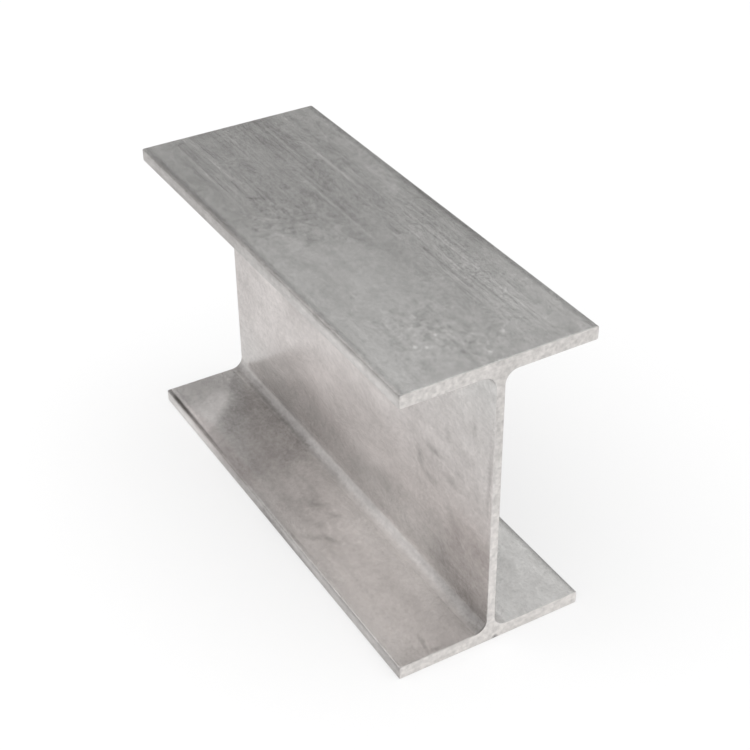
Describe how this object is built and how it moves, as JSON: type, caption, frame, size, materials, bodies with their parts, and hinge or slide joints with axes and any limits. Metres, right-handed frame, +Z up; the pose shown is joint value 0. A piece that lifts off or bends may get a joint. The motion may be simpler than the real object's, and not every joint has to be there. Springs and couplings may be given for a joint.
{
  "type": "stainless steel h-beam",
  "caption": "Short sawn length of stainless steel H-section: flat parallel flanges on a thin upright web with rounded root fillets, for posts, frames and supports.",
  "frame": {"origin": "middle of the lower flange's underside, halfway along the length", "axes": "+Y along the beam, +X across the flanges, +Z up the web"},
  "size_m": [0.125, 0.32, 0.2],
  "materials": {
    "stainless_steel": "pickled mill finish, dull satin, with rolling lines along the length and bright sawn ends"
  },
  "bodies": {
    "root": {"h_beam": "stainless_steel"}
  },
  "joints": []
}
